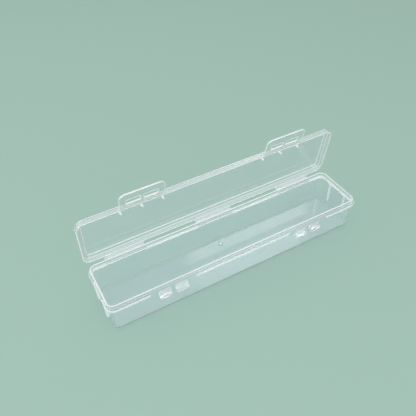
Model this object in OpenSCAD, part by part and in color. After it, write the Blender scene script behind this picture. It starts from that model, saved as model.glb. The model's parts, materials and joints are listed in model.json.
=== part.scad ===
// Long moulded plastic box for brushes: a drafted tray with a stepped rim, a shallow lid on
// three film hinges, and two windowed latches that snap over catches on the front wall.
// X runs along the length, +Y is the hinge side, Z is up, and the origin is the middle of the
// tray's underside. All sizes are in millimetres.

/* [Tray] */
// Length over the upstanding lip
lip_l = 238.4; // [190:0.4:320]
// Width over the upstanding lip
lip_w = 47.6; // [36:0.4:80]
// Height from the table to the top of the lip
tray_h = 31.6; // [26:0.2:50]
// Corner radius of the lip, seen from above
lip_r = 6; // [5:0.5:10]
// Thickness of the walls and the lip
wall_t = 1.2; // [0.9:0.1:1.8]
// Thickness of the floor
floor_t = 1.4; // [1:0.1:2.4]
// How far the wall below the rim stands in from the lip
wall_step = 0.7; // [0.4:0.1:1]
// Lean of each wall between the rim and the floor
draft = 0.7; // [0.4:0.1:1.6]
// Rounding where the outside of a wall meets the underside
foot_r = 1.8; // [1.5:0.1:3]
// Diameter of the round pad at the gate, on the floor
gate_pad_d = 5; // [3.2:0.2:7]
// Height of that pad
gate_pad_h = 0.2; // [0.1:0.05:0.3]
// Diameter of the gate mark in the middle of the pad
gate_d = 1.8; // [1:0.2:3]
// Distance of the gate mark behind the middle of the floor
gate_y = 15.6; // [5:0.1:17]
// Height of the gate mark above the floor
gate_h = 0.4; // [0.35:0.05:0.6]

/* [Rim flange] */
// Height of the lip above the flange
lip_h = 4.1; // [3.5:0.1:5]
// Thickness of the flange
flange_t = 2; // [1.5:0.1:2.6]
// How far the flange and the lid stand out from the lip
flange_out = 1.4; // [1.4:0.1:2.2]
// Width of the gap in the front flange at each latch
notch_w = 40.2; // [39.4:0.2:46]

/* [Lid] */
// Thickness of the lid's top
lid_t = 1.1; // [0.8:0.1:1.6]
// Thickness of the lid's skirt
skirt_t = 1.1; // [0.9:0.1:1.3]
// Rounding of the lid's upper edge
crown_r = 0.9; // [0.4:0.1:1.1]
// Room between the top of the lip and the closed lid
lip_room = 0.3; // [0.2:0.1:0.8]
// Distance from the lid's edge to the raised field, measured inside
field_in = 4.8; // [3.8:0.1:6]
// How far the raised field stands up
field_h = 0.6; // [0.3:0.1:1]
// Width of the slope round the raised field
field_slope = 1; // [0.6:0.1:1.6]
// Angle by which the lid stands open from closed
lid_open = 81; // [60:1:110]

/* [Hinges] */
// Length of each hinge along the box
strap_w = 36; // [24:1:48]
// Distance from the end of the lip to the middle of each outer hinge
strap_end = 33.4; // [30:0.2:40]
// Distance from the flange's edge to the bending line
strap_out = 3; // [2.4:0.1:5]
// Thickness of the hinge leaves
leaf_t = 1; // [0.8:0.1:1.4]
// Gap between the two leaves when the lid is closed
leaf_gap = 0.2; // [0.1:0.05:0.4]
// Thickness of the bending films
film_t = 0.4; // [0.3:0.05:0.5]
// Length of hinge film on each side of the bending line
film_run = 0.8; // [0.6:0.1:1.2]

/* [Latches] */
// Distance from the end of the lip to the middle of each latch
latch_end = 53.6; // [50:0.2:60]
// Length of a latch along the box
latch_w = 38.4; // [36:0.2:39]
// Reach of a latch from its bending line to its tip
latch_len = 18; // [15:0.2:24]
// Thickness of a latch
latch_t = 1.2; // [1:0.1:1.8]
// Corner radius at the tip of a latch
latch_r = 5; // [2:0.5:8]
// Angle by which a latch leans inwards from the lid's plane
latch_lean = 8; // [2:1:30]
// Length of latch film on each side of its bending line
latch_film_run = 0.4; // [0.3:0.05:0.8]
// Gap between the bending line and the inner face of a latch
latch_gap = 0.1; // [0.05:0.05:0.2]
// Length of each window along the box
window_w = 11.8; // [11.2:0.1:13]
// Height of each window
window_h = 4.6; // [4.2:0.1:5]
// Distance from the middle of a latch to the middle of each window
window_x = 7.4; // [7:0.1:9]
// Corner radius of a window
window_r = 0.5; // [0.2:0.1:1]

/* [Catches] */
// Gap between a catch and each end of its window
catch_side_gap = 0.6; // [0.3:0.1:1]
// Distance from the top of the flange down to the catches' hooking edge
catch_drop = 8.9; // [8.5:0.1:10.5]
// Height of each catch wedge
catch_h = 6.4; // [5:0.1:6.4]
// How far a catch reaches into the closed latch's window
catch_hook = 1.2; // [0.8:0.1:1.4]
// Play between the hooking edge and the window's far edge
catch_play = 0.5; // [0.2:0.1:0.8]

/* [Ribs and pins] */
// Distance of each end rib from the middle of the end wall
end_rib_y = 10; // [6:0.5:14]
// Thickness of the end ribs
end_rib_t = 1.2; // [0.8:0.1:2]
// Height of the lower end of the ribs above the table
end_rib_z = 5; // [4:0.5:12]
// How far the ribs' outer edge stands in from the flange's edge at the top
end_rib_in = 0.2; // [0.1:0.1:0.4]
// How far the ribs' outer edge leans in between its top and its lower end
end_rib_lean = 0.7; // [0:0.1:0.8]
// Diameter of the locating pins behind each latch
pin_d = 2; // [1:0.1:2.4]
// Distance from each end of a latch to the outer locating pins behind it
pin_end = 1; // [0.8:0.1:6]
// Diameter of the corner pins at the hinge side of the lid
corner_pin_d = 1.4; // [0.8:0.1:1.6]
// Distance between the two pins of a corner
corner_pin_pitch = 4; // [3:0.2:6]
// How far the pins' ends stand back from the lid's edge
pin_back = 0.2; // [0.1:0.1:0.6]
// Room between a pin and the slope of the raised field
pin_room = 0.1; // [0.05:0.05:0.4]

/* [Hidden] */
$fn = 96;
hull_fn = 32;
foot_steps = 6;
bend_steps = 16;
eps = 0.01;
joint_depth = 0.5;

strap_pitch = lip_l / 2 - strap_end;
latch_x = lip_l / 2 - latch_end;
pin_pitch = latch_w / 2 - pin_end;

flange_top = tray_h - lip_h;
flange_low = flange_top - flange_t;
wall_in_top = wall_step;
wall_in_low = wall_step + draft;
foot = min(foot_r, lip_r - wall_in_low - 0.2);
inner_foot = max(foot - wall_t, 0.6);
inner_foot_z = floor_t + inner_foot;

lid_z = flange_top + leaf_gap;
lid_under = tray_h + lip_room;
lid_top = lid_under + lid_t;
field_under = lid_under + field_h;
field_top = lid_top + field_h;
lid_half_w = lip_w / 2 + flange_out;
lid_half_l = lip_l / 2 + flange_out;

hinge_y = lid_half_w + strap_out;
hinge_z = flange_top + leaf_gap / 2;
film_gap = leaf_gap / 2;

latch_axis_y = -lid_half_w - latch_film_run;
latch_face_y = latch_axis_y - latch_gap;
catch_z = flange_top - catch_drop;
window_far = lid_z - catch_z + catch_play;
window_near = window_far - window_h;
catch_w = window_w - 2 * catch_side_gap;

// Distance by which the outside of a wall stands in from the lip at height z
function wall_in(z) = wall_in_top + draft * (flange_low - z) / (flange_low - foot);

// Outline of the lip, stood in by d all round
module outline(d) {
    r = lip_r - d;
    half_l = lip_l / 2 - d;
    half_w = lip_w / 2 - d;
    square([2 * (half_l - r), 2 * half_w], center = true);
    square([2 * half_l, 2 * (half_w - r)], center = true);
    for (sx = [-1, 1], sy = [-1, 1])
        translate([sx * (half_l - r), sy * (half_w - r)]) circle(r);
}

// Straight slab on the outline stood in by d, between two heights
module slab(d, z0, z1) {
    translate([0, 0, z0]) linear_extrude(z1 - z0) outline(d);
}

// Four corner posts with a rounded lower edge of radius f, for a hull
module foot_corners(d, z, f) {
    r = lip_r - d;
    arc = [for (i = [0:foot_steps]) let (a = -90 + 90 * i / foot_steps)
        [r - f + f * cos(a), f + f * sin(a)]];
    for (sx = [-1, 1], sy = [-1, 1])
        translate([sx * (lip_l / 2 - d - r), sy * (lip_w / 2 - d - r), z])
            rotate_extrude($fn = hull_fn) polygon(concat([[0, 0]], arc, [[0, f]]));
}

// Drafted body with a rounded foot: d_low at the top of the foot, d_high at z_high
module drafted(d_low, d_high, z_low, z_high, f) {
    hull() {
        foot_corners(d_low, z_low, f);
        slab(d_high, z_high, z_high + eps, $fn = hull_fn);
    }
}

// Profile given in Y and Z, drawn out along X about the middle
module along_x(w) {
    rotate([90, 0, 90]) linear_extrude(w, center = true) children();
}

// Point at distance r from the bending line, at angle a from +Y towards +Z
function round_line(r, a) = [r * cos(a), r * sin(a)];

// Direction in which that point moves as its angle grows
function along_bend(a) = [-sin(a), cos(a)];

// One face of a film: straight for run, bent at radius r from a0 to a1, then straight for run
function film_face(r, run, a0, a1) = concat(
    [round_line(r, a0) - run * along_bend(a0)],
    [for (i = [0:bend_steps]) round_line(r, a0 + (a1 - a0) * i / bend_steps)],
    [round_line(r, a1) + run * along_bend(a1)]);

// Bent film of even thickness t, w long, whose inner face lies at radius gap
module film(w, gap, t, run, a0, a1) {
    inner = film_face(gap, run, a0, a1);
    last = len(inner) - 1;
    along_x(w) polygon(concat(film_face(gap + t, run, a0, a1),
        [for (i = [0:last]) inner[last - i]]));
}

// Moves what is drawn on the closed box to where the open lid stands
module on_open_lid() {
    translate([0, hinge_y, hinge_z]) rotate([-lid_open, 0, 0])
        translate([0, -hinge_y, -hinge_z]) children();
}

// Moves what is drawn round a latch's bending line, in the lid's plane, to its leaning place
module at_latch(side) {
    on_open_lid() translate([side * latch_x, latch_axis_y, lid_z]) children();
}

// Tray: floor, drafted walls, lip, flange with its two notches, and the hinge leaves
module tray() color([0.86, 0.93, 0.92, 0.5]) {
    difference() {
        union() {
            drafted(wall_in_low, wall_in_top, 0, flange_low, foot);
            slab(0, flange_low, tray_h);
            difference() {
                slab(-flange_out, flange_low, flange_top);
                for (side = [-1, 1])
                    translate([side * latch_x - notch_w / 2, -lid_half_w - 1, flange_low - 1])
                        cube([notch_w, flange_out + 1 + joint_depth, flange_t + 2]);
            }
            for (x = [-strap_pitch, 0, strap_pitch])
                translate([x - strap_w / 2, lid_half_w - joint_depth, flange_top - leaf_t])
                    cube([strap_w, strap_out - film_run + joint_depth, leaf_t]);
        }
        drafted(wall_in(inner_foot_z) + wall_t, wall_in_top + wall_t, floor_t, flange_top,
            inner_foot);
        slab(wall_t, flange_top, tray_h + 1);
    }
    translate([0, gate_y, floor_t]) rotate_extrude() polygon([
        [0, -joint_depth], [gate_pad_d / 2, -joint_depth], [gate_pad_d / 2, gate_pad_h],
        [gate_d / 2, gate_pad_h], [gate_d / 2, gate_h], [0, gate_h],
    ]);
}

// Two upright ribs on one end wall, under the flange
module end_ribs(side) color([0.82, 0.91, 0.9, 0.6]) {
    edge = lid_half_l - end_rib_in;
    for (y = [-end_rib_y, end_rib_y])
        translate([0, y, 0]) rotate([90, 0, 0]) linear_extrude(end_rib_t, center = true)
            polygon([
                [side * (lip_l / 2 - wall_in(flange_low)), flange_low],
                [side * edge, flange_low],
                [side * (edge - end_rib_lean), end_rib_z],
                [side * (lip_l / 2 - wall_in(end_rib_z)), end_rib_z],
            ]);
}

// Two wedges on the front wall that hook into one latch's windows
module catches(side) color([0.9, 0.95, 0.94, 0.7]) {
    top = catch_z + catch_h;
    for (dx = [-window_x, window_x])
        translate([side * latch_x + dx, 0, 0]) along_x(catch_w) polygon([
            [-lip_w / 2 + wall_in(top), top],
            [latch_face_y - catch_hook, catch_z],
            [-lip_w / 2 + wall_in(catch_z), catch_z],
        ]);
}

// Thin film that bends between a tray leaf and a lid leaf
module hinge_film(x) color([0.95, 0.97, 0.97, 0.8])
    translate([x, hinge_y, hinge_z])
        film(strap_w, film_gap, film_t, film_run, -90, 90 - lid_open);

// Lid: top with its raised field, skirt, and the lid's hinge leaves
module lid() color([0.84, 0.92, 0.92, 0.5]) on_open_lid() {
    difference() {
        union() {
            hull() {
                slab(-flange_out, lid_z, lid_z + eps, $fn = hull_fn);
                mirror([0, 0, 1]) foot_corners(-flange_out, -lid_top, crown_r);
            }
            slab(field_in - field_slope - flange_out, lid_top - eps, field_top);
            for (x = [-strap_pitch, 0, strap_pitch])
                translate([x - strap_w / 2, lid_half_w - joint_depth, lid_z])
                    cube([strap_w, strap_out - film_run + joint_depth, leaf_t]);
        }
        slab(skirt_t - flange_out, lid_z - 1, lid_under, $fn = hull_fn);
        slab(field_in - flange_out, lid_under - eps, field_under);
    }
}

// Round pin on the lid's underside, at a place given on the closed box
module pin(x, y, d) {
    translate([x, y, lid_z + pin_back]) cylinder(d = d, h = field_under - lid_z - pin_back);
}

// Three pins behind one latch, just inside the closed tray's lip
module locating_pins(side) color([0.95, 0.96, 0.95, 0.8]) on_open_lid()
    for (i = [-1:1])
        pin(side * latch_x + i * pin_pitch, -lid_half_w + field_in + pin_room + pin_d / 2, pin_d);

// Two pins at each hinge-side corner of the lid
module corner_pins() color([0.95, 0.96, 0.95, 0.8]) on_open_lid() {
    curve = lip_r + flange_out - field_in;
    reach = (curve - pin_room - corner_pin_d / 2) / sqrt(2);
    for (side = [-1, 1], i = [0, 1])
        pin(side * (lid_half_l - field_in - curve + reach - i * corner_pin_pitch),
            lid_half_w - field_in - curve + reach, corner_pin_d);
}

// Film between the lid's skirt and one latch
module latch_film(side) color([0.95, 0.97, 0.97, 0.8]) at_latch(side)
    film(latch_w, latch_gap, film_t, latch_film_run, 90, 90 + latch_lean);

// Latch: a flap with two windows and rounded tip corners, drawn flat beyond its bending line
module latch(side) color([0.85, 0.93, 0.93, 0.6]) at_latch(side) rotate([latch_lean, 0, 0])
    translate([0, 0, latch_gap]) linear_extrude(latch_t) difference() {
        union() {
            translate([-latch_w / 2, -latch_len + latch_r])
                square([latch_w, latch_len - latch_r - latch_film_run]);
            translate([-latch_w / 2 + latch_r, -latch_len])
                square([latch_w - 2 * latch_r, latch_r + 1]);
            for (sx = [-1, 1])
                translate([sx * (latch_w / 2 - latch_r), -latch_len + latch_r]) circle(latch_r);
        }
        for (dx = [-window_x, window_x])
            translate([dx, -(window_near + window_far) / 2]) window();
    }

// Window outline with small corner rounds
module window() {
    square([window_w - 2 * window_r, window_h], center = true);
    square([window_w, window_h - 2 * window_r], center = true);
    for (sx = [-1, 1], sy = [-1, 1])
        translate([sx * (window_w / 2 - window_r), sy * (window_h / 2 - window_r)])
            circle(window_r);
}

tray();
end_ribs(-1);  // end_ribs_left
end_ribs(1);  // end_ribs_right
catches(-1);  // catches_left
catches(1);  // catches_right
hinge_film(-strap_pitch);  // hinge_film_left
hinge_film(0);  // hinge_film_middle
hinge_film(strap_pitch);  // hinge_film_right
lid();
locating_pins(-1);  // locating_pins_left
locating_pins(1);  // locating_pins_right
corner_pins();
latch_film(-1);  // latch_film_left
latch(-1);  // latch_left
latch_film(1);  // latch_film_right
latch(1);  // latch_right
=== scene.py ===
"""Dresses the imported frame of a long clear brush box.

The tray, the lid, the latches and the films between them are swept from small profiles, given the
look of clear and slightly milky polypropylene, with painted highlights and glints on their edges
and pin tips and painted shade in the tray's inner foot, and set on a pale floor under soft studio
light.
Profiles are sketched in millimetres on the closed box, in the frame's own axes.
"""

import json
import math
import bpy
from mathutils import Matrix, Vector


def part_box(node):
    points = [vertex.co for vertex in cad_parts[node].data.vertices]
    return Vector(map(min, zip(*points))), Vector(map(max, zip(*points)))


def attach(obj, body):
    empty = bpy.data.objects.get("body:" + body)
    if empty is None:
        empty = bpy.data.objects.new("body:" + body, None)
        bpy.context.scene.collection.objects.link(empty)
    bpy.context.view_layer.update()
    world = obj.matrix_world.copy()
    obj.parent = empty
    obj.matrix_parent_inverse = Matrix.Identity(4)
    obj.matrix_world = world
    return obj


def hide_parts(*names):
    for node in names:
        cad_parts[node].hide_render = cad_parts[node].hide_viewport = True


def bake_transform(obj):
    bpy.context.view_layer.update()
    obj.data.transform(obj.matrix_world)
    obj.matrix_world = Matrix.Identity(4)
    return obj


bl_info = {
    "name": "Clear Brush Box",
    "version": (1, 0, 0),
    "blender": (4, 5, 0),
    "location": "3D View > Sidebar > Brush Box",
    "description": "Builds the shells, films and latches of a clear brush box over its frame",
    "category": "Object",
}

import bmesh
import bpy
import numpy as np
from mathutils import Matrix, Vector

MM = 0.001
AIR = 0.012  # mm of air left between pieces that touch, so that clear faces never lie in one plane

# Fixed sizes of the moulding, in millimetres
MOULDING = {
    # Tray: lip corners, floor, stand-in and lean of the walls, rounding at the foot
    "r": 6.0, "floor": 1.4, "step": 0.7, "draft": 0.7, "foot": 1.8,
    # Flange: thickness, height of the lip above it, gap in it at each latch
    "flange_t": 2.0, "lip": 4.1, "notch": 40.2,
    # Lid: skirt, top, inset and height of the raised field, rounding of the upper edge
    "skirt": 1.1, "lid_t": 1.1, "field_in": 4.8, "field_h": 0.6, "crown": 0.9,
    # Closed lid: gap between the hinge leaves, room over the lip
    "leaf_gap": 0.2, "lip_room": 0.3,
    # Films: leaf and film thickness, straight film beside each bend, radius inside the bend
    "leaf": 1.0, "film": 0.4, "run": 0.8, "latch_run": 0.4, "gap": 0.1,
    # Latches: reach, thickness, corners at the tip and at the root, width of the swept rim
    "latch_len": 18.0, "latch_t": 1.2, "latch_r": 5.0, "latch_root": 0.15, "latch_rim": 0.55,
    # Windows: middle along the latch and from its bending line, half sizes, corners
    "window_x": 7.4, "window_reach": 7.3, "window_hw": 5.9, "window_hh": 2.3, "window_r": 0.5,
    # Catches: lower and upper end, half length, reach through the latch, rounding
    "catch_z": 18.6, "catch_top": 25.0, "catch_hw": 5.3, "hook": 1.2, "catch_r": 0.3,
    "catch_end": 0.18,
    # End ribs: offset, lower end, half thickness, stand-in and lean of the edge, rounding
    "rib_y": 10.0, "rib_z": 5.0, "rib_ht": 0.6, "rib_in": 0.2, "rib_lean": 0.7, "rib_r": 0.2,
    "rib_end": 0.15,
    # Pins: radii, place from a latch's end, pitch at a corner, stand-back, room to the field
    "pin_r": 1.0, "corner_pin_r": 0.7, "pin_end": 1.0, "pin_pitch": 4.0, "pin_back": 0.2,
    "pin_room": 0.1,
}

# Gate mark on its pad: place behind the middle, radii, heights above the floor, sides
GATE_Y = 15.6
GATE_RADII = (2.5, 2.5, 2.4, 1.1, 0.9, 0.86, 0.6)
GATE_HEIGHTS = (0.0, 0.12, 0.18, 0.18, 0.24, 0.34, 0.38)
GATE_SIDES = 36
PIN_SIDES = 20
PIN_NOSE = 0.98  # share of the round nose that is drawn, before the flat at its tip
PIN_FLARE = (1.0, 1.03, 1.12)  # growth of a pin's radius from its nose to its root
PIN_RISE, PIN_ROOT = 0.9, 0.5  # mm from the nose to the first step, and of the root
FILM_END = 0.02  # mm by which the ends of a film are rounded in
BLEND_SPAN = 0.12  # mm from a latch's bending line to two points on its film, which are worked out but not used
CREAM = (1.0, 0.99, 0.95)  # cream tint of the painted highlights on the rounded edges and the foot

# Stage, in metres: half side of the floor, point the lamps look at, and place, size, power and
# colour of each lamp
FLOOR_HALF = 6.0
LAMP_AIM = (0, 0, 0.03)
LAMPS = {
    "rear_softbox": ((0.66, 0.97, 1.25), (0.5, 0.4), 1.4, (1.0, 0.99, 0.96)),
    "top_softbox": ((-0.6, 0.1, 1.6), (1.8, 1.4), 4.6, (1.0, 0.99, 0.97)),
    "left_softbox": ((-1.3, 0.3, 1.0), (1.4, 1.3), 4.8, (0.95, 0.98, 1.0)),
    "front_fill": ((0.1, -1.35, 1.0), (1.7, 1.0), 7.5, (0.98, 0.99, 1.0)),
}
# Camera solved from the straight edges of the photographed box
CAMERA_LENS = 43.21
CAMERA_PLACE = Matrix((
    (0.875, 0.3509, -0.3336, -0.15176),
    (-0.483, 0.5847, -0.6518, -0.25878),
    (-0.0336, 0.7314, 0.6811, 0.33848),
    (0, 0, 0, 1),
))

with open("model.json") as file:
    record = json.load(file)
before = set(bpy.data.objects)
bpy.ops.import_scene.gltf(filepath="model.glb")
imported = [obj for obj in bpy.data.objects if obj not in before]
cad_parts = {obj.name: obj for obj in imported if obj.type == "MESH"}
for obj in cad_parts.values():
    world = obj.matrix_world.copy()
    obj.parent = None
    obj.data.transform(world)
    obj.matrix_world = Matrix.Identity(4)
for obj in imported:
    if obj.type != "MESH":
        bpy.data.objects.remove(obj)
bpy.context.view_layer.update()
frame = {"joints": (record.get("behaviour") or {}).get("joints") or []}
JOINTS = {j["name"]: j for j in frame["joints"]}


def box_mm(node):
    """Lowest and highest corner of a node at rest, in millimetres."""
    low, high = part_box(node)
    return np.array(low) / MM, np.array(high) / MM


TRAY_LOW, TRAY_HIGH = box_mm("tray")
FILM_LOW, FILM_HIGH = box_mm("hinge_film_right")
LATCH_LOW, LATCH_HIGH = box_mm("latch_right")
HINGE = np.array(JOINTS["lid_hinge"]["pos_m"]) / MM
LATCH_LINE = np.array(JOINTS["latch_right_hinge"]["pos_m"]) / MM


# Sizes and colours


class BrushBoxSizes(bpy.types.PropertyGroup):
    """Lengths of the moulding, in metres."""

    length: bpy.props.FloatProperty(
        name="Length", description="Length over the rim flange",
        default=float(TRAY_HIGH[0] - TRAY_LOW[0]) * MM, min=0.19, max=0.33,
        subtype="DISTANCE", unit="LENGTH")
    lip_width: bpy.props.FloatProperty(
        name="Lip width", description="Width over the upstanding lip",
        default=0.0476, min=0.03, max=0.09, subtype="DISTANCE", unit="LENGTH")
    tray_height: bpy.props.FloatProperty(
        name="Tray height", description="Height from the table to the top of the lip",
        default=float(TRAY_HIGH[2]) * MM, min=0.02, max=0.06,
        subtype="DISTANCE", unit="LENGTH")
    wall: bpy.props.FloatProperty(
        name="Wall", description="Thickness of the tray's walls and lip",
        default=0.0012, min=0.0008, max=0.002, subtype="DISTANCE", unit="LENGTH")
    flange: bpy.props.FloatProperty(
        name="Flange", description="How far the flange and the lid stand out from the lip",
        default=0.0014, min=0.001, max=0.003, subtype="DISTANCE", unit="LENGTH")
    edge_round: bpy.props.FloatProperty(
        name="Edge rounding", description="Radius left on the moulded edges",
        default=0.00025, min=0.0001, max=0.0005, subtype="DISTANCE", unit="LENGTH")


class BrushBoxLook(bpy.types.PropertyGroup):
    """Colours and finish of the plastic and of the stage."""

    plastic: bpy.props.FloatVectorProperty(
        name="Plastic", description="Tint of the clear plastic",
        default=(0.965, 0.985, 1.0), size=3, min=0, max=1, subtype="COLOR")
    milk: bpy.props.FloatProperty(
        name="Milkiness", description="Share of the light that each face of the plastic scatters",
        default=0.12, min=0, max=0.5, subtype="FACTOR")
    # Milky, glowing rounded edges stand in for highlights: this share sets their painted highlight
    rim_highlight_milk: bpy.props.FloatProperty(
        name="Rim milkiness", description="Share of the light that the rounded edges scatter",
        default=0.8, min=0, max=1, subtype="FACTOR")
    floor: bpy.props.FloatVectorProperty(
        name="Floor", description="Colour of the plain pale floor",
        default=(0.42, 0.60, 0.51), size=3, min=0, max=1, subtype="COLOR")


def sizes():
    """The sizes in millimetres, with those that follow from them."""
    s = bpy.context.scene.brush_box_sizes
    d = {
        **MOULDING,
        "len": s.length / MM - 2 * s.flange / MM, "wid": s.lip_width / MM,
        "top": s.tray_height / MM, "wall": s.wall / MM, "out": s.flange / MM,
        "edge": s.edge_round / MM,
    }
    d["flange_top"] = d["top"] - d["lip"]
    d["flange_low"] = d["flange_top"] - d["flange_t"]
    d["lid_z"] = d["flange_top"] + d["leaf_gap"]
    d["under"] = d["top"] + d["lip_room"]
    d["leaf_out"] = HINGE[1] - d["run"] - d["wid"] / 2
    d["strap_x"] = float(FILM_LOW[0] + FILM_HIGH[0]) / 2
    d["strap_w"] = float(FILM_HIGH[0] - FILM_LOW[0])
    d["latch_x"] = float(LATCH_LINE[0])
    d["latch_y"] = -d["wid"] / 2 - d["out"] - d["latch_run"]
    d["latch_w"] = float(LATCH_HIGH[0] - LATCH_LOW[0])
    d["open"] = -JOINTS["lid_hinge"]["range_deg"][0]
    d["lean"] = -JOINTS["latch_right_hinge"]["range_deg"][0]
    return d


def wall_in(d, z):
    """How far the outside of a wall stands in from the lip at height z: the step, and the draft
    times the share of the way down from the flange to the foot."""
    return d["step"] + d["draft"] * (d["flange_low"] - z) / (d["flange_low"] - d["foot"])


def leaf_cuts(d):
    """Places along X, from right to left, where the three hinge leaves begin and end."""
    x, w = d["strap_x"], d["strap_w"] / 2
    return [x + w, x - w, w, -w, -x + w, -x - w]


# Surfaces


def arc(cx, cz, r, a0, a1, n=5):
    """Points of a circle about (cx, cz): (cx + r cos a, cz + r sin a), a from a0 to a1 degrees."""
    a = np.radians(np.linspace(a0, a1, n))
    return np.column_stack([cx + r * np.cos(a), cz + r * np.sin(a)])


def run(p, q, n):
    """n points on the straight line from p to q, both ends left out."""
    t = (np.arange(n) + 1.0)[:, None] / (n + 1)
    return np.array(p) * (1 - t) + np.array(q) * t


def rim_path(d, cuts, swaps, corner=14):
    """Stations round the lip's outline: point, outward normal and section number.

    A rounded rectangle, walked anticlockwise from the front left corner. Each straight side is cut
    at the places given, with two stations at each cut, so that one section can end square where the
    next begins. cuts and swaps hold, for the front and the rear, the places and the sections.
    """
    hl, hw, r = d["len"] / 2 - d["r"], d["wid"] / 2 - d["r"], d["r"]
    rows = []

    def side(a, b, n, marks, kinds):
        """Straight side from a to b with outward normal n: a station at each end and two at each
        mark, at half the outline's length or width from the middle."""
        xs = np.concatenate([[a]] + [[m, m] for m in marks] + [[b]])
        ks = np.repeat(kinds, 2)
        if n[1]:
            rows.append(np.column_stack([xs, np.full(len(xs), n[1] * d["wid"] / 2),
                                         np.zeros(len(xs)), np.full(len(xs), n[1]), ks]))
        else:
            rows.append(np.column_stack([np.full(len(xs), n[0] * d["len"] / 2), xs,
                                         np.full(len(xs), n[0]), np.zeros(len(xs)), ks]))

    def turn(cx, cy, a0):
        """Quarter circle about (cx, cy) from angle a0: (cx + r cos a, cy + r sin a)."""
        a = np.radians(np.linspace(a0, a0 + 90, corner + 1)[1:-1])
        rows.append(np.column_stack([cx + r * np.cos(a), cy + r * np.sin(a), np.cos(a), np.sin(a),
                                     np.zeros(len(a))]))

    side(-hl, hl, (0, -1), cuts[0], swaps[0])
    turn(hl, -hw, -90)
    side(-hw, hw, (1, 0), [], [0])
    turn(hl, hw, 0)
    side(hl, -hl, (0, 1), cuts[1], swaps[1])
    turn(-hl, hw, 90)
    side(hw, -hw, (-1, 0), [], [0])
    turn(-hl, -hw, 180)
    return np.vstack(rows)


def carry(path, sections):
    """Profile carried round a path: at station u, the section s(u) gives inset i and height z of
    each row v, and the surface is (point(u) - i(v) normal(u), z(v)). Returns a grid of points."""
    table = np.stack(sections)[path[:, 4].astype(int)]
    grid = np.empty(table.shape[:2] + (3,))
    grid[..., 0] = path[:, 0, None] - table[..., 0] * path[:, 2, None]
    grid[..., 1] = path[:, 1, None] - table[..., 0] * path[:, 3, None]
    grid[..., 2] = table[..., 1]
    return grid


def ring_faces(nu, nv, caps=True):
    """Faces of a grid closed round u: quads, and one flat face over each open end."""
    u, v = np.meshgrid(np.arange(nu), np.arange(nv - 1), indexing="ij")
    w = (u + 1) % nu
    quads = np.stack([u * nv + v, w * nv + v, w * nv + v + 1, u * nv + v + 1], axis=-1)
    faces = quads.reshape(-1, 4).tolist()
    if caps:
        ring = np.arange(nu) * nv
        faces += [ring[::-1].tolist(), (ring + nv - 1).tolist()]
    return faces


def placed(name, data):
    """Object made from a mesh, a lamp or a camera, and put into the scene."""
    obj = bpy.data.objects.new(name, data)
    bpy.context.scene.collection.objects.link(obj)
    return obj


def piece(name, points, faces, rides, replaces=(), bands=None, materials=(), smooth=35):
    """Mesh object from points in millimetres, with its doubles merged, riding on a body."""
    mesh = bpy.data.meshes.new(name)
    mesh.from_pydata((np.asarray(points).reshape(-1, 3) * MM).tolist(), [], faces)
    for m in materials:
        mesh.materials.append(m)
    if bands is not None:
        index = np.zeros(len(mesh.polygons), dtype=np.int32)
        index[:len(bands)] = bands
        mesh.polygons.foreach_set("material_index", index)
    bm = bmesh.new()
    bm.from_mesh(mesh)
    bmesh.ops.remove_doubles(bm, verts=bm.verts, dist=2e-7)
    bmesh.ops.dissolve_degenerate(bm, edges=bm.edges, dist=1e-7)
    open_edges = sum(1 for e in bm.edges if len(e.link_faces) != 2)
    bm.to_mesh(mesh)
    bm.free()
    if open_edges:
        print("open edges on", name, open_edges)
    obj = placed(name, mesh)
    flatten_faces(obj, smooth)
    if rides:
        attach(obj, rides)
    if replaces:
        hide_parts(*replaces)
    return obj


def flatten_faces(obj, smooth=35):
    """Smooths the faces up to an angle in degrees, and weighs the normals by area, so that broad
    faces stay flat right up to their rounded edges."""
    obj.data.shade_smooth()
    obj.data.set_sharp_from_angle(angle=math.radians(smooth))
    weigh = obj.modifiers.new("broad_faces_flat", "WEIGHTED_NORMAL")
    weigh.weight, weigh.keep_sharp = 100, True


def turned(points, about, degrees):
    """Points turned by angle a about a line along X through about: y' = y cos a - z sin a and
    z' = y sin a + z cos a."""
    a = math.radians(degrees)
    p = np.array(points, dtype=float)
    y, z = p[..., 1] - about[1], p[..., 2] - about[2]
    p[..., 1] = about[1] + y * math.cos(a) - z * math.sin(a)
    p[..., 2] = about[2] + y * math.sin(a) + z * math.cos(a)
    return p


def open_lid(points, d):
    """Points of the closed lid, moved to where the open lid stands."""
    return turned(points, HINGE, -d["open"])


def bar(section, x0, x1, e):
    """Closed prism along X whose ends are rounded in by e: the section is carried along X through
    four places, and at the outer two it is drawn in towards its middle by e."""
    s = np.asarray(section, dtype=float)
    mid = s.mean(axis=0)
    reach = np.linalg.norm(s - mid, axis=1, keepdims=True)
    inner = mid + (s - mid) * np.clip(1 - e / reach, 0, 1)
    rows = [(x0, inner), (x0 + e, s), (x1 - e, s), (x1, inner)]
    return np.stack([np.column_stack([np.full(len(s), x), p]) for x, p in rows], axis=1)


def bar_bands(corners, n, bars):
    """Which faces of a bar with rounded corners lie on rounded edges: its ends and its corners."""
    around = np.arange(corners * n) % n < n - 1
    one = np.stack([np.ones(corners * n, bool), around, np.ones(corners * n, bool)], axis=1).ravel()
    return np.concatenate([np.concatenate([one, [False, False]])] * bars).astype(int)


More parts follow.
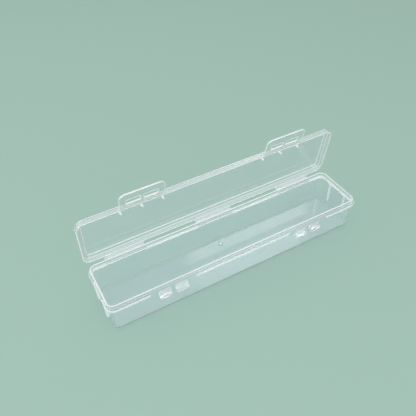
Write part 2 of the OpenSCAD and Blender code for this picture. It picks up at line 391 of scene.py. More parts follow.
def rounded(corners, r, n=3):
    """Closed outline with each corner cut by a curve: the corner is replaced by n points of the
    quadratic curve between the points r before and r after it, or side / most where r is more."""
    most = 2.2  # keeps the curve short of the middle of a side
    c = np.asarray(corners, dtype=float)
    back, ahead = np.roll(c, 1, 0) - c, np.roll(c, -1, 0) - c
    lb = np.linalg.norm(back, axis=1, keepdims=True)
    la = np.linalg.norm(ahead, axis=1, keepdims=True)
    a = c + back / lb * np.minimum(r, lb / most)
    b = c + ahead / la * np.minimum(r, la / most)
    t = np.linspace(0, 1, n)[None, :, None]
    pts = a[:, None] * (1 - t) ** 2 + 2 * c[:, None] * t * (1 - t) + b[:, None] * t ** 2
    return pts.reshape(-1, 2)


def lathe(x, y, radii, heights, n):
    """Surface turned about an upright line through (x, y): at angle a and row v, the point is
    (x + r(v) cos a, y + r(v) sin a, z(v)), with n angles."""
    a = np.linspace(0, 2 * math.pi, n + 1)[:-1]
    r, z = np.asarray(radii), np.asarray(heights)
    return np.stack([x + r[None] * np.cos(a)[:, None], y + r[None] * np.sin(a)[:, None],
                     np.repeat(z[None], n, 0)], axis=-1)


def joined(grids):
    """Points and faces of several closed grids as one mesh."""
    points, faces, first = [], [], 0
    for g in grids:
        faces += [[i + first for i in q] for q in ring_faces(*g.shape[:2])]
        points.append(g.reshape(-1, 3))
        first += g.shape[0] * g.shape[1]
    return np.vstack(points), faces


# Materials


def group(name, inputs, outputs):
    """Empty shader node group with named float inputs and outputs of the kinds given."""
    g = bpy.data.node_groups.new(name, "ShaderNodeTree")
    for n, default in inputs:
        kind = "NodeSocketVector" if default is None else "NodeSocketFloat"
        s = g.interface.new_socket(n, in_out="INPUT", socket_type=kind)
        if default is not None:
            s.default_value = default
    for n, kind in outputs:
        g.interface.new_socket(n, in_out="OUTPUT", socket_type=kind)
    return g, g.nodes.new("NodeGroupInput"), g.nodes.new("NodeGroupOutput")


def node(tree, kind, links=(), **values):
    """Node of a kind with its properties and socket values set; links are (socket, source)."""
    n = tree.nodes.new(kind)
    for key, value in values.items():
        if hasattr(n, key) and key not in n.inputs:
            setattr(n, key, value)
        else:
            n.inputs[key].default_value = value
    for socket, source in links:
        tree.links.new(source, n.inputs[socket])
    return n


def milk_clouds():
    """Clouds in the plastic: two noises of different size, one broad and one fine, added up."""
    if "milk clouds" in bpy.data.node_groups:
        return bpy.data.node_groups["milk clouds"]
    g, i, o = group("milk clouds", [("Vector", None), ("Broad", 30.0), ("Fine", 240.0),
                                    ("Fine share", 0.35)], [("Cloud", "NodeSocketFloat")])
    where = i.outputs["Vector"]
    broad = node(g, "ShaderNodeTexNoise", [("Vector", where), ("Scale", i.outputs["Broad"])],
                 Detail=3.0)
    fine = node(g, "ShaderNodeTexNoise", [("Vector", where), ("Scale", i.outputs["Fine"])],
                Detail=2.0)
    mix = node(g, "ShaderNodeMix", [(0, i.outputs["Fine share"]), (2, broad.outputs[0]),
                                    (3, fine.outputs[0])], data_type="FLOAT")
    g.links.new(mix.outputs[0], o.inputs["Cloud"])
    return g


def rub_marks():
    """Fine rub marks: noise drawn out along X, kept where it is strongest."""
    if "rub marks" in bpy.data.node_groups:
        return bpy.data.node_groups["rub marks"]
    g, i, o = group("rub marks", [("Vector", None), ("Scale", 420.0), ("Stretch", 0.06),
                                  ("Level", 0.6)], [("Marks", "NodeSocketFloat")])
    wide = node(g, "ShaderNodeCombineXYZ", [("X", i.outputs["Stretch"])], Y=1.0, Z=1.0)
    vec = node(g, "ShaderNodeVectorMath", [(0, i.outputs["Vector"]), (1, wide.outputs[0])],
               operation="MULTIPLY")
    noise = node(g, "ShaderNodeTexNoise", [("Vector", vec.outputs[0]),
                                           ("Scale", i.outputs["Scale"])],
                 Detail=4.0, Roughness=0.7)
    ramp = node(g, "ShaderNodeMapRange", [("Value", noise.outputs[0]),
                                          ("From Min", i.outputs["Level"])])
    ramp.inputs["From Max"].default_value = 0.78
    g.links.new(ramp.outputs[0], o.inputs["Marks"])
    return g


def flow_rings():
    """Faint rings left by the melt as it ran out from the gate: a sine of the distance from it,
    bent by noise and fading with the distance."""
    if "flow rings" in bpy.data.node_groups:
        return bpy.data.node_groups["flow rings"]
    g, i, o = group("flow rings", [("Vector", None), ("Gate X", 0.0), ("Gate Y", 0.0156),
                                   ("Rings", 900.0), ("Fade", 18.0)],
                    [("Rings", "NodeSocketFloat")])
    gate = node(g, "ShaderNodeCombineXYZ", [("X", i.outputs["Gate X"]),
                                            ("Y", i.outputs["Gate Y"])])
    away = node(g, "ShaderNodeVectorMath", [(0, i.outputs["Vector"]), (1, gate.outputs[0])],
                operation="SUBTRACT")
    dist = node(g, "ShaderNodeVectorMath", [(0, away.outputs[0])], operation="LENGTH")
    bend = node(g, "ShaderNodeTexNoise", [("Vector", i.outputs["Vector"])], Scale=90.0, Detail=2.0)
    far = node(g, "ShaderNodeMath", [(0, dist.outputs["Value"]), (1, i.outputs["Rings"])],
               operation="MULTIPLY")
    warp = node(g, "ShaderNodeMath", [(0, bend.outputs[0]), (2, far.outputs[0])],
                operation="MULTIPLY_ADD")
    warp.inputs[1].default_value = 7.0  # radians by which the noise bends the rings
    wave = node(g, "ShaderNodeMath", [(0, warp.outputs[0])], operation="SINE")
    fade = node(g, "ShaderNodeMath", [(0, dist.outputs["Value"]), (1, i.outputs["Fade"])],
                operation="MULTIPLY")
    fall = node(g, "ShaderNodeMath", [(0, fade.outputs[0])], operation="MULTIPLY_ADD")
    fall.inputs[1].default_value, fall.inputs[2].default_value = -1.0, 1.0
    fall.use_clamp = True
    both = node(g, "ShaderNodeMath", [(0, wave.outputs[0]), (1, fall.outputs[0])],
                operation="MULTIPLY")
    g.links.new(both.outputs[0], o.inputs["Rings"])
    return g


def stress_lines():
    """White lines along a bent film: noise drawn out along X, sharp across the bend."""
    if "stress lines" in bpy.data.node_groups:
        return bpy.data.node_groups["stress lines"]
    g, i, o = group("stress lines", [("Vector", None), ("Scale", 2600.0)],
                    [("Lines", "NodeSocketFloat")])
    wide = node(g, "ShaderNodeVectorMath", [(0, i.outputs["Vector"])], operation="MULTIPLY")
    wide.inputs[1].default_value = (0.02, 1.0, 1.0)  # drawn out fifty times along X
    noise = node(g, "ShaderNodeTexNoise", [("Vector", wide.outputs[0]),
                                           ("Scale", i.outputs["Scale"])], Detail=2.0)
    ramp = node(g, "ShaderNodeMapRange", [("Value", noise.outputs[0])])
    ramp.inputs["From Min"].default_value, ramp.inputs["From Max"].default_value = 0.4, 0.62
    g.links.new(ramp.outputs[0], o.inputs["Lines"])
    return g


def clear_plastic(name, milk, tint, rough=0.06, cloud=0.12, marks=0.1, rings=0.0, lines=0.0,
                  bump=0.008, glow=0.0):
    """Clear polypropylene: refracting, with a share of milky scatter, clouds in its colour, rub
    marks in its gloss, and a way through for the lamps' own rays. A little emission is painted
    light: a glow that stands for the light that the walls pipe to their edges."""
    if name in bpy.data.materials:
        return bpy.data.materials[name]
    m = bpy.data.materials.new(name)
    m.use_nodes = True
    t = m.node_tree
    t.nodes.clear()
    obj = node(t, "ShaderNodeTexCoord").outputs["Object"]
    clouds = node(t, "ShaderNodeGroup", node_tree=milk_clouds())
    t.links.new(obj, clouds.inputs["Vector"])
    rub = node(t, "ShaderNodeGroup", node_tree=rub_marks())
    t.links.new(obj, rub.inputs["Vector"])
    shade = node(t, "ShaderNodeMapRange", [("Value", clouds.outputs[0])])
    shade.inputs["From Min"].default_value, shade.inputs["From Max"].default_value = 0.3, 0.7
    colour = node(t, "ShaderNodeMix", [(0, shade.outputs[0])], data_type="RGBA")
    darker = 1 - cloud * 0.35
    colour.inputs[6].default_value = tuple(c * darker for c in tint) + (1,)
    colour.inputs[7].default_value = tuple(tint) + (1,)
    source = colour.outputs[2]
    if lines:
        stress = node(t, "ShaderNodeGroup", node_tree=stress_lines())
        t.links.new(obj, stress.inputs["Vector"])
        white = node(t, "ShaderNodeMix", [(6, source)], data_type="RGBA")
        strength = node(t, "ShaderNodeMath", [(0, stress.outputs[0])], operation="MULTIPLY")
        strength.inputs[1].default_value = lines
        t.links.new(strength.outputs[0], white.inputs[0])
        white.inputs[7].default_value = (1, 1, 1, 1)
        source = white.outputs[2]
    gloss = node(t, "ShaderNodeMath", [(0, rub.outputs[0])], operation="MULTIPLY_ADD")
    gloss.inputs[1].default_value, gloss.inputs[2].default_value = marks, rough
    height = node(t, "ShaderNodeMath", [(0, clouds.outputs[0])], operation="MULTIPLY")
    height.inputs[1].default_value = 0.6  # share of the clouds in the relief
    lift = height.outputs[0]
    if rings:
        flow = node(t, "ShaderNodeGroup", node_tree=flow_rings())
        t.links.new(obj, flow.inputs["Vector"])
        add = node(t, "ShaderNodeMath", [(0, flow.outputs[0]), (2, lift)],
                   operation="MULTIPLY_ADD")
        add.inputs[1].default_value = rings
        lift = add.outputs[0]
    relief = node(t, "ShaderNodeBump", [("Height", lift)], Strength=bump, Distance=0.0004)
    body = node(t, "ShaderNodeBsdfPrincipled", [("Base Color", source),
                                                ("Roughness", gloss.outputs[0]),
                                                ("Normal", relief.outputs[0])])
    body.inputs["Transmission Weight"].default_value = 1 - milk
    body.inputs["IOR"].default_value = 1.49
    # Painted light: the emission makes the part glow in its own tint, though it is no lamp
    body.inputs["Emission Color"].default_value = tuple(tint) + (1,)
    body.inputs["Emission Strength"].default_value = glow
    open_to_lamps = node(t, "ShaderNodeBsdfTransparent")
    open_to_lamps.inputs["Color"].default_value = tuple(0.985 * c for c in tint) + (1,)
    path = node(t, "ShaderNodeLightPath")
    lighting = node(t, "ShaderNodeMath", [(0, path.outputs["Is Shadow Ray"]),
                                          (1, path.outputs["Is Diffuse Ray"])],
                    operation="MAXIMUM")
    mix = node(t, "ShaderNodeMixShader", [(0, lighting.outputs[0]), (1, body.outputs[0]),
                                          (2, open_to_lamps.outputs[0])])
    out = node(t, "ShaderNodeOutputMaterial")
    t.links.new(mix.outputs[0], out.inputs["Surface"])
    return m


def finishes():
    """The plastic's finishes: broad faces, thick trim and bent films, with painted light: milky,
    glowing edges, strips, toes, ribs and pin tips as painted highlights and glints, and a dark
    fillet as painted shade.
    """
    look = bpy.context.scene.brush_box_look
    tint, milk, rim = tuple(look.plastic), look.milk, look.rim_highlight_milk
    return {
        "face": clear_plastic("clear_face", milk, tint, rings=0.5),
        # Rounded edges: milky, cream and a little glowing, as painted highlights
        "rim": clear_plastic("rim_painted_highlight", rim, CREAM, rough=0.22, cloud=0.0, marks=0.05, bump=0.0,
                             glow=0.06),
        # Flange's outer face: milky and glowing, a painted bright band
        "strip": clear_plastic("strip_painted_highlight", 0.8, (0.95, 0.99, 0.97), rough=0.3, cloud=0.0,
                               marks=0.05, bump=0.0, glow=0.12),
        "skirt": clear_plastic("milky_skirt", 0.22, tint, rough=0.15, cloud=0.0, bump=0.0),
        # Middle of the foot's rounding: cream and glowing, a painted highlight
        "toe": clear_plastic("toe_painted_highlight", 0.6, CREAM, rough=0.3, cloud=0.0, bump=0.0, glow=0.3),
        # Fillet inside the foot: a dark tint as painted shade in the crease
        "heel": clear_plastic("fillet_painted_shade", 0.12, (0.42, 0.55, 0.50), rough=0.3, bump=0.0),
        "catch": clear_plastic("cloudy_catch", 0.24, tint, rough=0.15, bump=0.0),
        # End ribs: milky and glowing, a painted highlight
        "rib": clear_plastic("rib_painted_highlight", 0.7, tint, rough=0.2, bump=0.0, glow=0.1),
        "flap": clear_plastic("clear_flap", milk * 1.5, tint, rough=0.07),
        # Pin tips: nearly fully milky white, a painted glint
        "tip": clear_plastic("tip_painted_glint", min(1, rim * 1.25), (1.0, 0.99, 0.94), rough=0.15,
                             marks=0.05),
        "film": clear_plastic("whitened_film", min(1, rim * 0.9), tint, rough=0.16, lines=0.8,
                              bump=0.1),
    }


# Pieces


def profile(parts):
    """One profile from its parts, each an array of (inset, height) and the number of the finish
    that its own steps take. Also gives the finish of each step: 0 between two parts."""
    rows = np.vstack([p for p, _ in parts])
    part = np.repeat(np.arange(len(parts)), [len(p) for p, _ in parts])
    kind = np.array([k for _, k in parts])[part]
    return rows, np.where(part[1:] == part[:-1], kind[1:], 0)


def bands_of(path, labels):
    """Finish of every quad round a path: that of the section at its first station, and 1 on the
    side walls where one section ends and the next begins."""
    at = path[:, 4].astype(int)
    rows = np.stack(labels)[at].astype(int)
    rows[at != np.roll(at, -1)] = 1
    return rows.ravel()


def tray_sections(d):
    """Half profiles of the tray, from the underside, over the lip, to the floor: 0 plain with its
    flange, 1 in a latch's gap, 2 at a hinge leaf. Rows are (inset, height)."""
    e, out, low, top = d["edge"], d["out"], d["flange_low"], d["flange_top"]
    step, lean, foot, w = d["step"], d["step"] + d["draft"], d["foot"], d["wall"]
    far, mid, leaf_z = -d["leaf_out"], low + d["flange_t"] / 2, top - d["leaf"]
    tight, above = 0.2, mid + 0.25  # span of the four close rows, and the height just over them
    toe = arc(lean + foot, foot, foot, -90, -180, 9)
    # The middle of the foot's rounding takes finish 4, a painted highlight
    head = [(toe[:3], 0), (toe[3:7], 4), (toe[7:], 0), (run((lean, foot), (step, low), 3), 0),
            (arc(step - e, low - e, e, 0, 90, 4), 0)]
    corner = arc(-out + e, low + e, e, 270, 180, 4)

    def side(x, low_z, high_z):
        """Upright part at inset x, with four rows close together half-way up."""
        return np.vstack([[[x, low_z], [x, mid]], run((x, mid), (x, mid + tight), 4),
                          [[x, high_z]]])

    # The flange's outer face takes finish 2, a painted bright band; its roundings take finish 1,
    # painted highlights
    plain = [(corner, 1), (side(-out, low + e, top - e), 2),
             (arc(-out + e, top - e, e, 180, 90, 4), 1)]
    notch = [(arc(e, low + e, e, 270, 180, 4), 1), (side(0, low + e, above), 0),
             (run((0, above), (0, top), 4), 0)]
    under_leaf = np.vstack([[[-out, low + e], [-out, leaf_z]],
                            arc(far + e, leaf_z + e, e, 270, 180, 4),
                            [[far, leaf_z + d["leaf"] / 2]]])
    leaf = [(corner, 1), (under_leaf, 0), (arc(far + e, top - e, e, 180, 90, 4), 1)]
    inner = d["foot"] - w
    in_foot = d["floor"] + inner
    at = wall_in(d, in_foot) + w
    # The heel, the fillet inside the foot, takes finish 3: a dark tint as painted shade
    heel = arc(at + inner, in_foot, inner, 180, 270, 8)
    soft, nick = 0.4, 0.2  # rounding of the lip, and of the corner where it meets the ledge
    lip_round = np.vstack([arc(soft, d["top"] - soft, soft, 180, 90, 5),
                           arc(w - soft, d["top"] - soft, soft, 90, 0, 5)])
    # The lip's roundings take finish 1, the rim's painted highlight
    tail = [(np.array([[0.0, top]]), 0), (lip_round, 1), (np.array([[w, top + nick]]), 0),
            (np.vstack([[[w + nick, top]], arc(step + w - e, top - e, e, 90, 0, 4)]), 1),
            (run((step + w, top - e), (at, in_foot), 3), 0), (heel, 3)]
    sections = [profile(head + p + tail) for p in (plain, notch, leaf)]
    return [p for p, _ in sections], [k for _, k in sections]


def lid_sections(d):
    """Half profiles of the closed lid, from its underside, round the skirt's free edge, to its top:
    0 plain, 1 at a hinge leaf."""
    e, out, z, under = d["edge"], d["out"], d["lid_z"], d["under"]
    t, c, h, f = d["lid_t"], d["crown"], d["field_h"], d["field_in"] - d["out"]
    s, far, leaf_z = d["skirt"] - out, -d["leaf_out"], z + d["leaf"]
    slope, soft, nick, fillet = 0.35, 0.25, 0.2, 0.4  # half slope of the field, and roundings
    flat, on_top, below = f + 1.4, f - 1, f - 0.5  # the field's flat, its slope on top, its foot
    inside = [(np.array([[flat, under + h]]), 0),
              (arc(f + slope, under + h - soft, soft, 90, 160, 4), 1),
              (arc(f - slope, under + nick, nick, -20, -90, 4), 1),
              (run((below, under), (s + fillet, under), 2), 0),
              (arc(s + fillet, under - fillet, fillet, 90, 180, 4), 0),
              (np.vstack([[[s, under - fillet]], run((s, under - fillet), (s, z + e), 1),
                          [[s, z + e]]]), 2)]
    free = arc(s - e, z + e, e, 0, -90, 4)
    plain = [(np.vstack([free, arc(-out + e, z + e, e, 270, 180, 4)]), 1),
             (run((-out, z + e), (-out, leaf_z), 4), 2),
             (np.array([[-out, leaf_z], [-out, under + t - c]]), 2)]
    leaf = [(np.vstack([free, arc(far + e, z + e, e, 270, 180, 4)]), 1),
            (arc(far + e, leaf_z - e, e, 180, 90, 4), 1),
            (np.array([[-out, leaf_z], [-out, under + t - c]]), 2)]
    tail = [(arc(-out + c, under + t - c, c, 180, 90, 8), 1),
            (run((-out + c, under + t), (on_top - slope, under + t), 1), 0),
            (arc(on_top - slope, under + t + soft, soft, 270, 340, 4), 1),
            (arc(on_top + slope, under + t + h - soft, soft, 160, 90, 4), 1),
            (np.array([[flat, under + t + h]]), 0)]
    sections = [profile(inside + p + tail) for p in (plain, leaf)]
    return [p for p, _ in sections], [k for _, k in sections]


def film_points(gap, thick, reach, a0, a1, n=13):
    """Cross-section of a bent film about its bending line, in (y, z): straight for reach, round at
    radius gap to gap + thick from angle a0 to a1, then straight again, with n rays in the bend."""
    a = np.radians(np.linspace(a0, a1, n))
    ray = np.column_stack([np.cos(a), np.sin(a)])
    way = np.column_stack([-np.sin(a), np.cos(a)])
    back = np.linspace(reach, 0, 4)[:-1, None]
    dirs = np.vstack([-back * way[:1], np.zeros((n, 2)), back[::-1] * way[-1:]])
    rays = np.vstack([np.repeat(ray[:1], 3, 0), ray, np.repeat(ray[-1:], 3, 0)])
    outer = rays * (gap + thick) + dirs
    inner = rays * gap + dirs
    return np.vstack([outer, inner[::-1]])


class BRUSHBOX_OT_tray(bpy.types.Operator):
    """Carries the tray's profile round the rim, with the flange's gaps and the hinge leaves"""

    bl_idname = "brushbox.tray"
    bl_label = "Tray"

    def execute(self, context):
        d, f = sizes(), finishes()
        sections, labels = tray_sections(d)
        x, n = d["latch_x"], d["notch"] / 2
        front = [-x - n, -x + n, x - n, x + n]
        path = rim_path(d, (front, leaf_cuts(d)), ([0, 1, 0, 1, 0], [0, 2, 0, 2, 0, 2, 0]))
        grid = carry(path, sections)
        nu, nv = grid.shape[:2]
        # The tray's finishes by number: 1 rim, painted highlight; 2 strip, painted bright band; 3
        # fillet, painted shade; 4 toe, painted highlight
        piece("tray_shell", grid, ring_faces(nu, nv), "tray", ["tray"], bands_of(path, labels),
              [f["face"], f["rim"], f["strip"], f["heel"], f["toe"]])
        heights = d["floor"] + AIR + np.array(GATE_HEIGHTS)
        mark = lathe(0, GATE_Y, GATE_RADII, heights, GATE_SIDES)
        # The mark's two lowest rings take the fillet's dark tint, painted shade, and its top rings
        # the white tip finish, a painted glint
        piece("gate_mark", mark, ring_faces(GATE_SIDES, len(heights)), "tray",
              bands=[2, 2, 0, 1, 1, 1] * GATE_SIDES + [0, 1],
              materials=[f["face"], f["tip"], f["heel"]])
        return {"FINISHED"}


class BRUSHBOX_OT_lid(bpy.types.Operator):
    """Carries the lid's profile round the rim and stands the lid open"""

    bl_idname = "brushbox.lid"
    bl_label = "Lid"

    def execute(self, context):
        d, f = sizes(), finishes()
        sections, labels = lid_sections(d)
        path = rim_path(d, ([], leaf_cuts(d)), ([0], [0, 1, 0, 1, 0, 1, 0]))
        grid = open_lid(carry(path, sections), d)
        nu, nv = grid.shape[:2]
        # Finish 1, the rim's painted highlight, lies on the lid's rounded edges and the field's
        # slopes
        piece("lid_shell", grid, ring_faces(nu, nv), "lid", ["lid"], bands_of(path, labels),
              [f["face"], f["rim"], f["skirt"]])
        return {"FINISHED"}


class BRUSHBOX_OT_films(bpy.types.Operator):
    """Bends the three hinge films and the two latch films round their lines"""

    bl_idname = "brushbox.films"
    bl_label = "Films"

    def execute(self, context):
        d, f = sizes(), finishes()
        gap, thick, w = d["gap"], d["film"], d["strap_w"] / 2
        mid = gap + thick / 2
        bend = (-90.0, 90.0 - d["open"])
        section = film_points(gap, thick, d["run"] - AIR, *bend) + HINGE[1:]
        for name, x in (("left", -d["strap_x"]), ("middle", 0.0), ("right", d["strap_x"])):
            grid = bar(section, x - w, x + w, FILM_END)[::-1]
            film = piece("hinge_film_%s_web" % name, grid, ring_faces(*grid.shape[:2]), None,
                         materials=[f["film"]], smooth=25)
            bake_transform(film)
            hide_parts("hinge_film_" + name)
        line, w = np.array([d["latch_y"], d["lid_z"]]), d["latch_w"] / 2
        section = film_points(gap, thick, d["latch_run"] - AIR, 90, 90 + d["lean"], 5) + line
        for side, name in ((-1, "left"), (1, "right")):
            x = side * d["latch_x"]
            grid = open_lid(bar(section, x - w, x + w, FILM_END)[::-1], d)
            film = piece("latch_film_%s_web" % name, grid, ring_faces(*grid.shape[:2]), None,
                         materials=[f["film"]], smooth=25)
            a, b = (open_lid(np.array([[x, line[0] + c * BLEND_SPAN, line[1] + mid]]), d)[0]
                    for c in (1, -1))
            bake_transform(film)
            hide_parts("latch_film_" + name)
        return {"FINISHED"}


class BRUSHBOX_OT_latches(bpy.types.Operator):
    """Cuts the two latches with their windows and round corners"""

    bl_idname = "brushbox.latches"
    bl_label = "Latches"

    def execute(self, context):
        d, f = sizes(), finishes()
        w, root, tip = d["latch_w"] / 2, d["latch_run"] + AIR, d["latch_len"]
        t, e, rim = d["latch_t"], d["edge"], d["latch_rim"]
        rows = np.vstack([[[rim, 0]], arc(e, e, e, 270, 180, 4), arc(e, t - e, e, 180, 90, 4),
                          [[rim, t]]])
        outlines = [flap_outline(w, root, tip, d["latch_r"], d["latch_root"])]
        outlines += [window_outline(s * d["window_x"], d["window_reach"], d["window_hw"],
                                    d["window_hh"], d["window_r"]) for s in (-1, 1)]
        for side, name in ((-1, "left"), (1, "right")):
            points, faces = [], []
            for o, n in outlines:
                grid = np.empty((len(o), len(rows), 3))
                grid[..., :2] = o[:, None] - rows[None, :, :1] * n[:, None]
                grid[..., 2] = rows[None, :, 1]
                first = len(points)
                faces += [[i + first for i in q]
                          for q in ring_faces(*grid.shape[:2], caps=False)]
                points += grid.reshape(-1, 3).tolist()
            obj = plate("latch_%s_flap" % name, points, faces, [len(o) for o, _ in outlines],
                        len(rows))
            place = np.array([v.co for v in obj.data.vertices])
            line = np.array([side * d["latch_x"], d["latch_y"], d["lid_z"]])
            flat = np.column_stack([place[:, 0] + line[0], line[1] - place[:, 1],
                                    line[2] + d["gap"] + place[:, 2]])
            flat = open_lid(turned(flat, line, d["lean"]), d) * MM
            obj.data.vertices.foreach_set("co", flat.ravel())
            bm = bmesh.new()
            bm.from_mesh(obj.data)
            bmesh.ops.recalc_face_normals(bm, faces=bm.faces)
            bm.to_mesh(obj.data)
            bm.free()
            # The latch's swept rims take the rim's painted highlight
            obj.data.materials.append(f["flap"])
            obj.data.materials.append(f["rim"])
            bands = np.zeros(len(obj.data.polygons), dtype=np.int32)
            bands[:len(faces)] = 1
            obj.data.polygons.foreach_set("material_index", bands)
            flatten_faces(obj)
            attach(obj, "latch_" + name)
            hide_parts("latch_" + name)
        return {"FINISHED"}


def flap_outline(w, r0, r1, corner, small):
    """Outline of a latch in (x, reach), from reach r0 to r1, with quarter circles of radius corner
    at its tip and small at its root. Also gives the outward normals."""

    def turn(cx, cy, r, a0):
        """Quarter circle: (cx + r cos a, cy + r sin a), with the normal (cos a, sin a)."""
        a = np.radians(np.linspace(a0, a0 + 90, 10))
        n = np.column_stack([np.cos(a), np.sin(a)])
        return np.array([cx, cy]) + r * n, n

    parts = [turn(w - small, r0 + small, small, -90), turn(w - corner, r1 - corner, corner, 0),
             turn(-w + corner, r1 - corner, corner, 90), turn(-w + small, r0 + small, small, 180)]
    return np.vstack([p for p, _ in parts]), np.vstack([n for _, n in parts])


def window_outline(cx, cy, hw, hh, r):
    """Outline of a window about (cx, cy), of half sizes hw and hh with corners of radius r, walked
    the other way round, with its normals pointing into the hole."""
    a = np.radians(np.concatenate([np.linspace(b, b + 90, 5) for b in (-90, 0, 90, 180)]))
    n = np.column_stack([np.cos(a), np.sin(a)])
    sx, sy = np.repeat([1, 1, -1, -1], 5), np.repeat([-1, 1, 1, -1], 5)
    o = np.column_stack([cx + sx * (hw - r), cy + sy * (hh - r)]) + r * n
    return o[::-1], -n[::-1]


def plate(name, points, faces, counts, nv):
    """Joins the swept rims of a plate with flat faces, above and below, round the windows."""
    mesh = bpy.data.meshes.new(name)
    mesh.from_pydata(points, [], faces)
    bm = bmesh.new()
    bm.from_mesh(mesh)
    bm.verts.ensure_lookup_table()
    for row in (0, nv - 1):
        first, loops = 0, []
        for c in counts:
            loops.append([bm.verts[first + k * nv + row] for k in range(c)])
            first += c * nv
        edges = []
        for loop in loops:
            for a, b in zip(loop, loop[1:] + loop[:1]):
                edges.append(bm.edges.get((a, b)) or bm.edges.new((a, b)))
        bmesh.ops.triangle_fill(bm, use_beauty=True, use_dissolve=True, edges=edges)
    bmesh.ops.recalc_face_normals(bm, faces=bm.faces)
    bm.to_mesh(mesh)
    bm.free()
    return placed(name, mesh)


class BRUSHBOX_OT_catches(bpy.types.Operator):
    """Sets the four catch wedges on the front wall"""

    bl_idname = "brushbox.catches"
    bl_label = "Catches"

    def execute(self, context):
        d, f = sizes(), finishes()
        low, top = d["catch_z"], d["catch_top"]
        at_low, at_top = (-d["wid"] / 2 + wall_in(d, z) - AIR for z in (low, top))
        hook = d["latch_y"] - d["gap"] - d["hook"]
        section = rounded([(at_low, low), (at_top, top), (hook, low)], d["catch_r"], 4)
        for side, name in ((-1, "left"), (1, "right")):
            middles = [side * d["latch_x"] + dx for dx in (-d["window_x"], d["window_x"])]
            points, faces = joined([bar(section, x - d["catch_hw"], x + d["catch_hw"],
                                        d["catch_end"]) for x in middles])
            # The wedges' rounded ends and corners take the rim's painted highlight
            piece("catches_%s_wedges" % name, points, faces, "tray", ["catches_" + name],
                  bar_bands(3, 4, 2), [f["catch"], f["rim"]])
        return {"FINISHED"}


class BRUSHBOX_OT_ribs(bpy.types.Operator):
    """Sets the upright ribs on the two end walls"""

    bl_idname = "brushbox.ribs"
    bl_label = "End Ribs"

    def execute(self, context):
        d, f = sizes(), finishes()
        half, low, top = d["len"] / 2, d["rib_z"], d["flange_low"] - AIR
        at_low, at_top = (half - wall_in(d, z) + AIR for z in (low, top))
        edge = half + d["out"] - d["rib_in"]
        section = rounded([(at_top, top), (at_low, low), (edge - d["rib_lean"], low), (edge, top)],
                          d["rib_r"], 3)
        for side, name in ((-1, "left"), (1, "right")):
            parts = []
            for y in (-d["rib_y"], d["rib_y"]):
                grid = bar(section, y - d["rib_ht"], y + d["rib_ht"], d["rib_end"])
                grid = grid[..., [1, 0, 2]] * np.array([side, 1, 1])
                parts.append(grid[::-1] if side > 0 else grid)
            points, faces = joined(parts)
            # The ribs take the glowing rib finish, a painted highlight, with the rim's painted
            # highlight on their rounded ends and corners
            piece("end_ribs_%s_pair" % name, points, faces, "tray", ["end_ribs_" + name],
                  bar_bands(4, 3, 2), [f["rib"], f["rim"]])
        return {"FINISHED"}


class BRUSHBOX_OT_pins(bpy.types.Operator):
    """Turns the locating pins and the corner pins inside the lid"""

    bl_idname = "brushbox.pins"
    bl_label = "Pins"

    def execute(self, context):
        d, f = sizes(), finishes()
        root, tip = d["under"] + d["field_h"] - AIR, d["lid_z"] + d["pin_back"]

        def pin(x, y, r):
            """Turned pin: the radius falls over a round tip as r sqrt(1 - s^2), with s from 0 to
            nearly 1, and grows a little towards the root."""
            s = np.linspace(0, 1, 6)
            nose = r * np.sqrt(1 - (s * PIN_NOSE) ** 2)[::-1]
            radii = np.concatenate([nose, r * np.array(PIN_FLARE)])
            heights = np.concatenate([tip + r * (1 - s[::-1]),
                                      [tip + r + PIN_RISE, root - PIN_ROOT, root]])
            return lathe(x, y, radii, heights, PIN_SIDES)

        big, small = d["pin_r"], d["corner_pin_r"]
        front = -d["wid"] / 2 - d["out"] + d["field_in"] + d["pin_room"] + big
        pitch = d["latch_w"] / 2 - d["pin_end"]
        for side, name in ((-1, "left"), (1, "right")):
            points, faces = joined([pin(side * d["latch_x"] + i * pitch, front, big)
                                    for i in (-1, 0, 1)])
            # The locating pins are all in the white tip finish, a painted glint
            piece("locating_pins_%s_three" % name, open_lid(points, d), faces, "lid",
                  ["locating_pins_" + name], materials=[f["tip"]])
        curve = d["r"] + d["out"] - d["field_in"]
        reach = (curve - d["pin_room"] - small) / math.sqrt(2)
        x, y = (d[key] / 2 + d["out"] - d["field_in"] - curve + reach for key in ("len", "wid"))
        points, faces = joined([pin(side * (x - i * d["pin_pitch"]), y, small)
                                for side in (-1, 1) for i in (0, 1)])
        # The corner pins' noses take the white tip finish, a painted glint
        piece("corner_pins_four", open_lid(points, d), faces, "lid", ["corner_pins"],
              (([1] * 5 + [0] * 3) * PIN_SIDES + [1, 0]) * 4, [f["face"], f["tip"]])
        return {"FINISHED"}


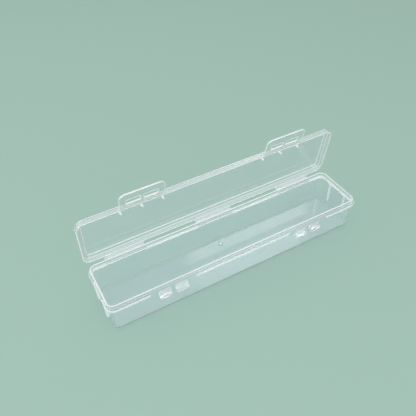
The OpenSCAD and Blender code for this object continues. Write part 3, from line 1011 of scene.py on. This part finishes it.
class BRUSHBOX_OT_stage(bpy.types.Operator):
    """Lays the pale floor and sets the lamps, the world and the camera"""

    bl_idname = "brushbox.stage"
    bl_label = "Stage"

    def execute(self, context):
        look, scene = context.scene.brush_box_look, context.scene
        mesh = bpy.data.meshes.new("floor")
        h, z = FLOOR_HALF, -AIR * MM
        mesh.from_pydata([(-h, -h, z), (h, -h, z), (h, h, z), (-h, h, z)], [], [(0, 1, 2, 3)])
        floor = placed("floor", mesh)
        m = bpy.data.materials.new("pale_floor")
        m.use_nodes = True
        body = m.node_tree.nodes["Principled BSDF"]
        body.inputs["Base Color"].default_value = tuple(look.floor) + (1,)
        body.inputs["Roughness"].default_value = 0.8
        body.inputs["Specular IOR Level"].default_value = 0.2
        mesh.materials.append(m)

        world = bpy.data.worlds.new("studio")
        scene.world = world
        world.use_nodes = True
        t = world.node_tree
        t.nodes.clear()
        light = node(t, "ShaderNodeBackground")
        light.inputs["Color"].default_value = (0.93, 0.97, 1.0, 1)
        light.inputs["Strength"].default_value = 0.55
        seen = node(t, "ShaderNodeBackground")
        seen.inputs["Color"].default_value = (0.45, 0.61, 0.53, 1)
        path = node(t, "ShaderNodeLightPath")
        through = node(t, "ShaderNodeMath", [(0, path.outputs["Is Camera Ray"]),
                                             (1, path.outputs["Is Transmission Ray"])],
                       operation="MAXIMUM")
        mix = node(t, "ShaderNodeMixShader", [(0, through.outputs[0]), (1, light.outputs[0]),
                                              (2, seen.outputs[0])])
        out = node(t, "ShaderNodeOutputWorld")
        t.links.new(mix.outputs[0], out.inputs["Surface"])

        for name, (place, size, power, colour) in LAMPS.items():
            data = bpy.data.lights.new(name, "AREA")
            data.shape, data.size, data.size_y = "RECTANGLE", size[0], size[1]
            data.energy, data.color = power, colour
            obj = placed(name, data)
            away = Vector(place) - Vector(LAMP_AIM)
            obj.rotation_euler = away.to_track_quat("Z", "Y").to_euler()
            obj.location = place

        cam = bpy.data.cameras.new("photo_view")
        cam.lens, cam.sensor_width, cam.clip_start = CAMERA_LENS, 36.0, 0.01
        obj = placed("photo_view", cam)
        obj.matrix_world = CAMERA_PLACE
        scene.camera = obj
        scene.view_settings.view_transform = "Standard"
        scene.cycles.max_bounces = 24
        scene.cycles.transmission_bounces = 24
        scene.cycles.transparent_max_bounces = 32
        return {"FINISHED"}


class BRUSHBOX_PT_panel(bpy.types.Panel):
    """Lists the sizes, the look and the steps of the brush box"""

    bl_label = "Brush Box"
    bl_idname = "BRUSHBOX_PT_panel"
    bl_space_type = "VIEW_3D"
    bl_region_type = "UI"
    bl_category = "Brush Box"

    def draw(self, context):
        for owner in (context.scene.brush_box_sizes, context.scene.brush_box_look):
            for key in owner.__annotations__:
                self.layout.prop(owner, key)
        for op in OPERATORS:
            self.layout.operator(op.bl_idname)


OPERATORS = (BRUSHBOX_OT_tray, BRUSHBOX_OT_lid, BRUSHBOX_OT_films, BRUSHBOX_OT_latches,
             BRUSHBOX_OT_catches, BRUSHBOX_OT_ribs, BRUSHBOX_OT_pins, BRUSHBOX_OT_stage)
CLASSES = (BrushBoxSizes, BrushBoxLook) + OPERATORS + (BRUSHBOX_PT_panel,)


def register():
    """Registers the classes and hangs the two groups of properties on the scene."""
    for c in CLASSES:
        bpy.utils.register_class(c)
    bpy.types.Scene.brush_box_sizes = bpy.props.PointerProperty(type=BrushBoxSizes)
    bpy.types.Scene.brush_box_look = bpy.props.PointerProperty(type=BrushBoxLook)


def unregister():
    """Takes the properties and the classes away again."""
    del bpy.types.Scene.brush_box_look
    del bpy.types.Scene.brush_box_sizes
    for c in reversed(CLASSES):
        bpy.utils.unregister_class(c)


def main():
    """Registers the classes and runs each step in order."""
    register()
    for op in OPERATORS:
        module, name = op.bl_idname.split(".")
        getattr(getattr(bpy.ops, module), name)()


if __name__ == "__main__":
    main()
